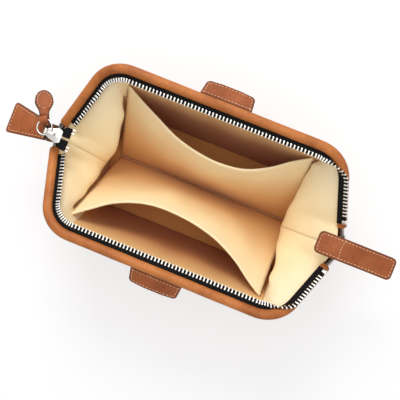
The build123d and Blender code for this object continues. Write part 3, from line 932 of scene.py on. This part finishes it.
def make_pockets():
    for side, word in HALVES:
        rows = pocket_rows(side, word)
        body = grid(word + "_pocket_cloth", rows, [LINING], thick=0.7)
        edge = rows[-1]
        hem_rows = []
        for i, p in enumerate(edge):
            run = (edge[min(len(edge) - 1, i + 1)] - edge[max(0, i - 1)]).normalized()
            down = (rows[-3][i] - p).normalized()
            out = run.cross(down).normalized()
            centre = p + down * 1.1
            hem_rows.append([centre + down * (1.9 * cos(t)) + out * (1.25 * sin(t)) for t in circle(14)])
        hem = grid(word + "_pocket_hem", hem_rows, [LINING], around=True)
        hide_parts(word + "_pocket")
        bend_with(body)
        bend_with(hem)


# Frame halves

FLIP_FROM, FLIP_TO, FLIP_LIFT = 66.0, 38.0, 6.0
ZIP = mouth(*TAPE_FOOT)
ZIP_TOTAL = lengths(ZIP)


def tape_line(where):
    """Root and edge of the tape at a length: inwards, and out of the half's plane."""
    share = ease((FLIP_FROM - (ZIP_TOTAL[-1] - where)) / (FLIP_FROM - FLIP_TO))
    root = Vector((mix(3.9, 3.6, share), mix(1.5, 3.6, share)))
    edge = Vector((mix(10.2, -4.2, share), mix(3.4, 6.2, share) + FLIP_LIFT * share * (1 - share)))
    return root, edge


def tape_frame(side, where):
    """Root and edge of the tape at a length, as places in the bag, and its direction there."""
    p, run, inward = along(ZIP, ZIP_TOTAL, where)
    root, edge = tape_line(where)
    a = p + inward * root.x
    b = p + inward * edge.x
    ra, rb = stand(side, a.x, a.y, root.y), stand(side, b.x, b.y, edge.y)
    q = p + run
    forward = stand(side, q.x, q.y, 0) - stand(side, p.x, p.y, 0)
    return ra, rb, forward.normalized()


def make_cover(side, word):
    """Rolled leather round the wire, with a narrow sleeve over the wire's ends."""
    line = mouth(*COVER_FOOT)
    total = lengths(line)
    full = total[-1]
    count = int(full / 2.0)
    stations = [(-3.0, 0.44), (-2.6, 0.56), (-0.1, 0.57), (0.0, 0.62), (0.25, 0.80), (0.9, 0.96)]
    stations += [(full * i / count, 1.0) for i in range(1, count)]
    stations += [(full - 0.9, 0.96), (full - 0.25, 0.80), (full, 0.62), (full + 0.1, 0.57)]
    stations += [(full + 9.2, 0.56), (full + 9.6, 0.44)]
    rows = []
    for where, wide in stations:
        p, run, inward = along(line, total, where)
        p = p + run * (min(0.0, where) + max(0.0, where - full))
        ring = []
        for a in circle(24):
            r = (COVER_R + 0.05) * wide
            lump = noise.noise(Vector((p.x * 0.05, p.y * 0.05, a * 0.5 + side))) * 0.12
            crease = noise.noise(Vector((where * 0.55, a * 0.7, side * 3.0))) * 0.07
            r += (lump + crease) * wide
            q = p + inward * (r * cos(a))
            ring.append(stand(side, q.x, q.y, r * sin(a)))
        rows.append(ring)
    cover = grid(word + "_cover_leather", rows, [PIPING], around=True)
    rides(cover, word + "_half", "piping_leather", word + "_frame_cover")


def make_tape(side, word):
    cells = int(ZIP_TOTAL[-1] / 1.5)
    rows = []
    for i in range(cells + 1):
        where = ZIP_TOTAL[-1] * i / cells
        ra, rb, forward = tape_frame(side, where)
        reach = rb - ra
        cloth_width = reach.length - 0.35
        lift = reach.normalized().cross(forward)
        row = []
        for k in range(9):
            share = k / 8
            wave = sin(where * 0.21) * 0.22 * share + sin(pi * share) * 0.25
            row.append(ra + reach.normalized() * (cloth_width * share - 0.3) - lift * wave * side)
        rows.append(row)
    tape = grid(word + "_tape_cloth", rows, [TAPE], thick=0.7)
    rides(tape, word + "_half", "zip_tape", word + "_zipper_tape")


def make_half(side, word):
    make_cover(side, word)
    make_tape(side, word)
    verts, faces = [], []
    count = int((ZIP_TOTAL[-1] - STOP_LENGTH - TOOTH_PITCH) / TOOTH_PITCH)
    for i in range(count + 1):
        add_tooth(verts, faces, side, TOOTH_PITCH * (0.5 + i), TOOTH_LENGTH, 2.2)
    teeth = make(word + "_teeth_metal", verts, faces, [TEETH])
    rides(teeth, word + "_half", "zip_metal", word + "_zipper_teeth")
    verts, faces = [], []
    add_tooth(verts, faces, side, ZIP_TOTAL[-1] - STOP_LENGTH / 2, STOP_LENGTH, 2.6)
    stop = make(word + "_stop_metal", verts, faces, [TEETH])
    rides(stop, word + "_half", "zip_metal", word + "_top_stop")
    side_tabs(side, word)


def tooth_shape():
    """One rounded tooth with a waist and a cup, in units of its own size, x towards the free end."""
    bm = bmesh.new()
    bmesh.ops.create_cube(bm, size=1.0)
    bmesh.ops.bevel(bm, geom=bm.edges[:], offset=0.16, segments=2, affect="EDGES", profile=0.5)
    waist = 0.1
    cut(bm, Vector((1, 0, 0)), waist)
    for v in bm.verts:
        if abs(v.co.x - waist) < 1e-4:
            v.co.y *= 0.80
            v.co.z *= 0.86
        if v.co.x > 0.3:
            v.co.z *= 0.92
    verts = [v.co.copy() for v in bm.verts]
    bm.verts.index_update()
    faces = [[v.index for v in f.verts] for f in bm.faces]
    bm.free()
    return verts, faces


TOOTH = tooth_shape()  # its points and its faces
TOOTH_PITCH, TOOTH_LENGTH, TOOTH_WIDTH = 3.0, 1.5, 4.2
STOP_LENGTH = 4.0


def add_tooth(verts, faces, side, where, long, thick):
    """Add a tooth to a mesh, on the tape's edge."""
    ra, rb, forward = tape_frame(side, where)
    reach = (rb - ra).normalized()
    centre = rb - reach * (TOOTH_WIDTH / 2 - 0.2)
    size = (TOOTH_WIDTH - 0.45, long, thick)
    add_tooth_at(verts, faces, centre, reach, forward, reach.cross(forward), size)


def add_tooth_at(verts, faces, centre, reach, forward, up, size):
    first = len(verts)
    for c in TOOTH[0]:
        verts.append(centre + reach * (c.x * size[0]) + forward * (c.y * size[1]) + up * (c.z * size[2]))
    for f in TOOTH[1]:
        faces.append([first + i for i in f])


def side_tabs(side, word):
    droop = radians(31.0)
    down = Vector((0, side * cos(droop), -sin(droop)))
    up = Vector((0, side * sin(droop), cos(droop)))
    bar = stand(side, -2.0, -BAR_REACH, 0)
    start, crown_y = 4.15, 19.15
    half = [(22.0, start), (20.5, crown_y - 1.3), (8.0, crown_y)]
    corners = [(-22.0, start)] + half + [(-x, y) for x, y in half[:0:-1]]
    outline = closed(corners, [0.6, 0.6, 4.0, 14.0, 14.0, 4.0])

    def place(x, y, z):
        return bar + Vector((x, 0, 0)) + down * y + up * z

    top = plate(word + "_tab_top_leather", outline, 0.03, 1.5, place, [TAB, EDGE], 1.4, 0.25, 2.1, True)
    back = plate(word + "_tab_back_leather", outline, -1.53, 1.5, place, [TAB, EDGE], 2.5, 0.25, 2.1, False)
    rides(top, word + "_half", "tab_leather", word + "_side_tab_top")
    rides(back, word + "_half", "tab_leather", word + "_side_tab_back")
    made = sewn(seam(outline, 2.1), lambda x, y: (place(x, y, 1.38), up), 2.9, 2.1)
    stitches = thread(word + "_tab_stitching", made, THREAD, 0.3)
    rides(stitches, word + "_half", None)


# Ends


def make_end_tab():
    slope = radians(14.0)
    origin = Vector((-131.2, 0, 82.0))
    run = Vector((cos(slope), 0, sin(slope)))
    up = Vector((-sin(slope), 0, cos(slope)))
    long, root, tip = 37.0, 7.5, 13.5
    corners = [(0, -root), (0, root), (-long, tip), (-long, -tip)]
    outline = closed(corners, [0.5, 0.5, 2.5, 2.5])

    def place(x, y, z):
        curl = 0.6 * sin(pi * min(1.0, -x / long))
        return origin + run * x + Vector((0, y, 0)) + up * (z + curl * 0.5)

    for low, layer, step in ((-1.6, "top", 1.5), (-3.22, "back", 2.5)):
        name = f"left_tab_{layer}_leather"
        piece = plate(name, outline, low, 1.55, place, [TAB, EDGE], step, 0.25, 2.2, layer == "top")
        rides(piece, "bag_body", "tab_leather", "left_end_tab_" + layer)
    made = sewn(seam(outline, 2.2), lambda x, y: (place(x, y, -0.18), up), 3.0, 2.2)
    rides(thread("left_tab_stitching", made, THREAD, 0.32), "bag_body", None)


STRAP_START, STRAP_END = 105.5, 172.0
STRAP_LINE = smooth_through(
    [(STRAP_START, 83.4), (114.0, 83.75), (123.0, 84.35), (131.0, 84.3), (151.0, 79.2), (STRAP_END, 73.0)], 80
)


def make_strap():
    up = Vector((0, 0, 1))

    def place(x, y, z):
        sway = 0.21 * sin((x - 105) / 67.0 * pi)
        return Vector((x, y + sway, at_x(STRAP_LINE, min(max(x, STRAP_START), STRAP_END)).y + z))

    for start, low, layer, step in ((STRAP_START, 1.68, "top", 1.5), (115.0, 0.03, "back", 2.5)):
        half = 9.3
        corners = [(start, -half), (STRAP_END, -half), (STRAP_END, half), (start, half)]
        outline = closed(corners, [4.0] * 4)
        name = f"right_strap_{layer}_leather"
        piece = plate(name, outline, low, 1.55, place, [TAB, EDGE], step, 0.25, 2.1, layer == "top")
        rides(piece, "bag_body", "tab_leather", "right_end_strap_" + layer)
        if layer == "top":
            across = [-8.6 + 17.2 * k / 20 for k in range(21)]
            cross = [Vector((127.4 - 1.6 * (1 - (y / 9.0) ** 2), y)) for y in across]
            made = sewn(seam(outline, 2.1), lambda x, y: (place(x, y, 3.08), up), 3.0, 2.2)
            made += sewn(cross, lambda x, y: (place(x, y, 3.2), up), 2.4, 1.9)
            rides(thread("right_strap_stitching", made, THREAD, 0.32), "bag_body", None)


def make_end_tape():
    """Joined tape under the slider, its two wings, the part folded down, its last teeth and the stop."""
    z, outer, half, wing = 85.15, -133.3, 4.2, 9.8
    pieces = []
    for sign in (-1, 1):
        rows = []
        for i in range(14):
            x = mix(outer, -116.0, i / 13)
            slit = 0.2 + ease((x + 126) / 6)
            lift = Vector((x, 0, z + 0.12 * sin(x * 0.9)))
            rows.append([lift + Vector((0, sign * mix(slit, half, k / 5), 0)) for k in range(6)])
        pieces.append(grid("part", rows, [TAPE], thick=0.7))
    for sign in (-1, 1):
        rows = []
        for i in range(6):
            x = mix(-120.6, -110.9, i / 5)
            y = mix(6.8, wing, ease((x + 117.8) / 1.5))
            rows.append([Vector((x, sign * mix(1.0, y, k / 8), z + 0.1 * sin(k))) for k in range(9)])
        pieces.append(grid("part", rows, [TAPE], thick=0.7))
    x = outer + 0.35
    fold = [[Vector((x, mix(-half, half, k / 6), z - 3.4 * i / 4)) for k in range(7)] for i in range(5)]
    pieces.append(grid("part", fold, [TAPE], thick=0.7))
    rides(join("zip_end_cloth", pieces), "bag_body", "zip_tape", "zipper_end_tape")

    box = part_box("zipper_end_teeth")
    x = (box[0][0] + box[1][0]) / 2 / MM
    axes = Vector((1, 0, 0)), Vector((0, 1, 0)), Vector((0, 0, 1))
    verts, faces = [], []
    for sign in (-1, 1):
        for row in range(2):
            y = sign * (wing - TOOTH_LENGTH / 2 - TOOTH_PITCH * row)
            add_tooth_at(verts, faces, Vector((x, y, 85.3)), *axes, (3.1, TOOTH_LENGTH, 2.1))
    rides(make("zip_end_teeth_metal", verts, faces, [TEETH]), "bag_body", "zip_metal", "zipper_end_teeth")
    low, high = (Vector(c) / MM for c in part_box("zipper_bottom_stop"))
    stop = block("bottom_stop_metal", tuple(high - low), 0.28, Matrix.Translation((low + high) / 2), TEETH)
    rides(stop, "bag_body", "zip_metal", "zipper_bottom_stop")


SLIDER_X = -124.0
SLIDER_LOW, SLIDER_TOP = 83.0, 87.6
SLIDER_PLATE = 1.1
BAIL_X = SLIDER_X - 2.4
BAIL_LENGTH, BAIL_BAR, BAIL_INSIDE = 8.5, 1.2, 2.5


def make_slider():
    corners = [(6.5, -5.0), (6.5, 5.0), (3.0, 6.2), (-6.5, 3.2), (-6.5, -3.2), (3.0, -6.2)]
    outline = closed(corners, [1.6, 1.6, 2.2, 1.4, 1.4, 2.2])
    finish = [BRIGHT, BRIGHT]

    def place(x, y, z):
        return Vector((SLIDER_X + x, y, z))

    def crowned(x, y, z):
        dome = 0.55 * exp(-((x / 5.0) ** 2 + (y / 4.0) ** 2))
        ridge = 0.22 * cos(min(pi, abs(y) * 0.75)) * exp(-((x / 7.0) ** 2))
        return place(x, y, z + (dome + ridge - 0.45) * (z > 87))

    post = Matrix.Translation(place(3.9, 0, 85.3))
    parts = [
        plate("part", outline, SLIDER_LOW, SLIDER_PLATE, place, finish, 1.6, 0.15, 0),
        plate("part", outline, SLIDER_TOP - SLIDER_PLATE, SLIDER_PLATE, crowned, finish, 1.0, 0.2, 0),
        block("part", (4.0, 1.2, 3.5), 0.3, post, BRIGHT),
    ]
    for sign in (-1, 1):
        turn = Matrix.Rotation(sign * radians(17.0), 4, "Z")
        lip = Matrix.Translation(place(-1.6, sign * 4.45, 86.35)) @ turn
        parts.append(block("part", (8.0, 0.7, 0.9), 0.25, lip, BRIGHT))
    rides(join("slider_metal", parts), "slider", "bright_metal", "slider_body")
    make_bail()


def make_bail():
    steps = 40
    half, high = (BAIL_LENGTH - BAIL_BAR) / 2, BAIL_INSIDE + BAIL_BAR / 2
    leg = [(half, -0.1), (half, high * 0.55), (half * 0.62, high)]
    keys = [(-x, 0, z) for x, z in leg] + [(x, 0, z) for x, z in reversed(leg)]
    line = smooth_through(keys, steps)
    rows = []
    for i, p in enumerate(line):
        run = (line[min(steps, i + 1)] - line[max(0, i - 1)]).normalized()
        out = Vector((run.z, 0, -run.x)) * (BAIL_BAR / 2)
        wide = Vector((0, 1.15 * (1.0 + 0.25 * sin(pi * i / steps)), 0))
        centre = Vector((BAIL_X, 0, SLIDER_TOP)) + p
        rows.append([centre + out * sin(t) + wide * cos(t) for t in circle(16)])
    rides(grid("slider_bail_metal", rows, [BRIGHT], around=True), "slider", "bright_metal", "slider_bail")


RING_RADIUS, RING_WIRE = 6.35, 0.65
PULLER_LENGTH, NECK, LEAF = 25.0, 4.0, 7.6  # the leaf's length, and half widths of its neck and head
HEAD_FROM = 15.0
SEAM_IN = 1.9


def puller_outline():
    edge = [Vector((3.0, -NECK)), Vector((5.5, -NECK))]
    for k in range(1, 9):
        edge.append(Vector((mix(5.5, HEAD_FROM, k / 8), -mix(NECK, LEAF, ease(k / 8)))))
    for k in range(1, 12):
        a = pi * k / 12
        edge.append(Vector((HEAD_FROM + (PULLER_LENGTH - HEAD_FROM) * sin(a), -LEAF * cos(a))))
    mirrored = [Vector((p.x, -p.y)) for p in reversed(edge) if p.y < -3.4]
    return anticlockwise(spaced(edge + mirrored, SAME))


def puller_loop(hold, axis, run):
    """Band of leather round the ring's wire, closed round the axis."""
    a_axis = (run - axis * run.dot(axis)).normalized()
    b_axis = axis.cross(a_axis)
    section = [(-3.5, 2.2), (-3.5, 3.05), (-3.2, 3.28), (0.0, 3.36), (3.2, 3.28)]
    section += [(3.5, 3.05), (3.5, 2.2), (3.2, 2.0), (0.0, 1.96), (-3.2, 2.0)]
    wide, count = len(section), 28
    verts = []
    for t in circle(count):
        spoke = a_axis * cos(t) + b_axis * sin(t)
        verts += [hold + axis * w + spoke * r for w, r in section]
    index = [int(j in (0, 5)) for j in range(wide)] * count  # the band's two cut edges are painted
    return make("part", verts, band(wide, count, wrap=True), [TAB, EDGE], index)


def sloped(heading, slope):
    """Level direction at a heading from +X, and the same one pointing down by a slope, in degrees."""
    heading, slope = radians(heading), radians(slope)
    flat = Vector((cos(heading), sin(heading), 0))
    return flat, flat * cos(slope) - Vector((0, 0, 1)) * sin(slope)


def make_puller():
    high = Vector((0, 0, 1))
    toward, ring_x = sloped(153.0, 10.0)
    # The ring's wire hangs in the bail, close to its outer post.
    near = Vector((BAIL_X - BAIL_LENGTH / 2 + 2 * BAIL_BAR + RING_WIRE, 0, SLIDER_TOP + 1.3))
    ring_z = ring_x.cross(high.cross(toward)).normalized()
    flat, run = sloped(116.0, 14.0)
    way = (flat - ring_z * flat.dot(ring_z)).normalized()
    hold = near + ring_x * RING_RADIUS + way * RING_RADIUS
    run = run.normalized()
    cross = high.cross(run).normalized()
    normal = run.cross(cross)
    roll = Matrix.Rotation(radians(18.0), 3, run)
    cross, normal = roll @ cross, roll @ normal
    outline = puller_outline()

    def place(x, y, z):
        curl = 0.35 * sin((x - 3) / 22 * pi)
        return hold + run * x + cross * y + normal * (z + curl)

    def on_face(x, y):
        return place(x, y, 1.52), normal

    top = plate("part", outline, 0.03, 1.65, place, [TAB, EDGE], 1.1, 0.28, SEAM_IN, True)
    loop = puller_loop(hold, ring_z.cross(way).normalized(), run)
    rides(join("puller_top_leather", [top, loop]), "puller", "tab_leather", "puller_top")
    back = plate("puller_back_leather", outline, -1.7, 1.68, place, [TAB, EDGE], 2.0, 0.2, SEAM_IN, False)
    for f in back.data.polygons:
        f.material_index = 1
    rides(back, "puller", "tab_leather", "puller_back")
    line = [p for p in inset(outline, SEAM_IN) if p.x > 8.8]
    start = max(range(len(line)), key=lambda i: (line[i] - line[i - 1]).length)
    line = line[start:] + line[:start]
    bow = [Vector((line[0].x - 0.9 * cos(y / 1.8), y)) for y in [-2.0 + 4.0 * k / 8 for k in range(9)]]
    made = sewn(line, on_face, 2.4, 1.75) + sewn(bow, on_face, 2.0, 1.5)
    rides(thread("puller_stitching", made, THREAD, 0.28), "puller", None)


make_panels()
make_gussets()
make_base()
make_pockets()
for side, word in HALVES:
    make_half(side, word)
make_end_tab()
make_strap()
make_end_tape()
make_slider()
make_puller()

for node, material in (
    ("base_board", BOARD),
    ("front_frame_wire", STEEL),
    ("back_frame_wire", STEEL),
    ("left_hinge_rivet", STEEL),
    ("right_hinge_rivet", STEEL),
    ("pull_ring", BRIGHT),
):
    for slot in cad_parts[node].material_slots:
        slot.material = material

# Stage, light and camera


SOFT_LIGHT = 0.62  # strength of the room's light, and the floor's own glow in the camera's view


def make_stage():
    n = Nodes("studio_floor")
    tree = n.tree
    n.shader.inputs["Base Color"].default_value = (0.88, 0.88, 0.88, 1)
    n.shader.inputs["Roughness"].default_value = 0.9
    rays = n.add("LightPath")
    glow = n.add("Emission", {"Color": (1, 1, 1, 1), "Strength": 1.0})
    seen = n.math("MAXIMUM", rays.outputs["Is Camera Ray"], rays.outputs["Is Glossy Ray"])
    share = n.math("MULTIPLY", seen, SOFT_LIGHT)
    both = n.add("MixShader", {0: share, 1: n.shader.outputs[0], 2: glow.outputs[0]})
    tree.links.new(both.outputs[0], tree.nodes["Material Output"].inputs["Surface"])
    size = 3000.0
    corners = [(x * size, y * size, -0.02) for x, y in ((-1, -1), (1, -1), (1, 1), (-1, 1))]
    make("studio_floor", corners, [(0, 1, 2, 3)], [n.material], smooth=False)


def make_light():
    world = bpy.data.worlds.new("studio")
    world.use_nodes = True
    bpy.context.scene.world = world
    tree = world.node_tree
    back = tree.nodes["Background"]
    rays = tree.nodes.new("ShaderNodeLightPath")
    high = tree.nodes.new("ShaderNodeMath")
    high.operation = "MAXIMUM"
    tree.links.new(rays.outputs["Is Camera Ray"], high.inputs[0])
    tree.links.new(rays.outputs["Is Glossy Ray"], high.inputs[1])
    level = tree.nodes.new("ShaderNodeMapRange")
    level.inputs["To Min"].default_value = SOFT_LIGHT
    level.inputs["To Max"].default_value = 1.0
    tree.links.new(high.outputs[0], level.inputs["Value"])
    tree.links.new(level.outputs[0], back.inputs["Strength"])
    back.inputs["Color"].default_value = (1, 1, 1, 1)
    for name, place, size, power in (
        ("key", (-0.5, 1.1, 1.2), 0.8, 17.0),
        ("fill", (0.8, -0.7, 1.5), 1.4, 3.6),
        ("top", (0.05, 0.1, 1.9), 1.2, 7.0),
    ):
        data = bpy.data.lights.new(name, "AREA")
        data.size = size
        data.energy = power
        lamp = shown(name, data)
        lamp.location = place
        lamp.rotation_euler = (Vector((0, 0, 0.05)) - Vector(place)).to_track_quat("-Z", "Y").to_euler()


def make_camera():
    data = bpy.data.cameras.new("camera")
    data.sensor_width = 36.0
    data.lens = 82.35
    data.clip_start, data.clip_end = 0.05, 20.0
    camera = shown("camera", data)
    right = Vector((0.92523596, 0.37102470, -0.07924076))
    down = Vector((0.37287989, -0.92783087, 0.00951156))
    ahead = Vector((-0.06999300, -0.03834772, -0.99681013))
    turn = Matrix((right, -down, -ahead)).transposed().to_4x4()
    camera.matrix_world = Matrix.Translation(Vector((58.323, 23.179, 821.115)) * MM) @ turn
    bpy.context.scene.camera = camera


make_stage()
make_light()
make_camera()
bpy.context.scene.view_settings.view_transform = "Standard"
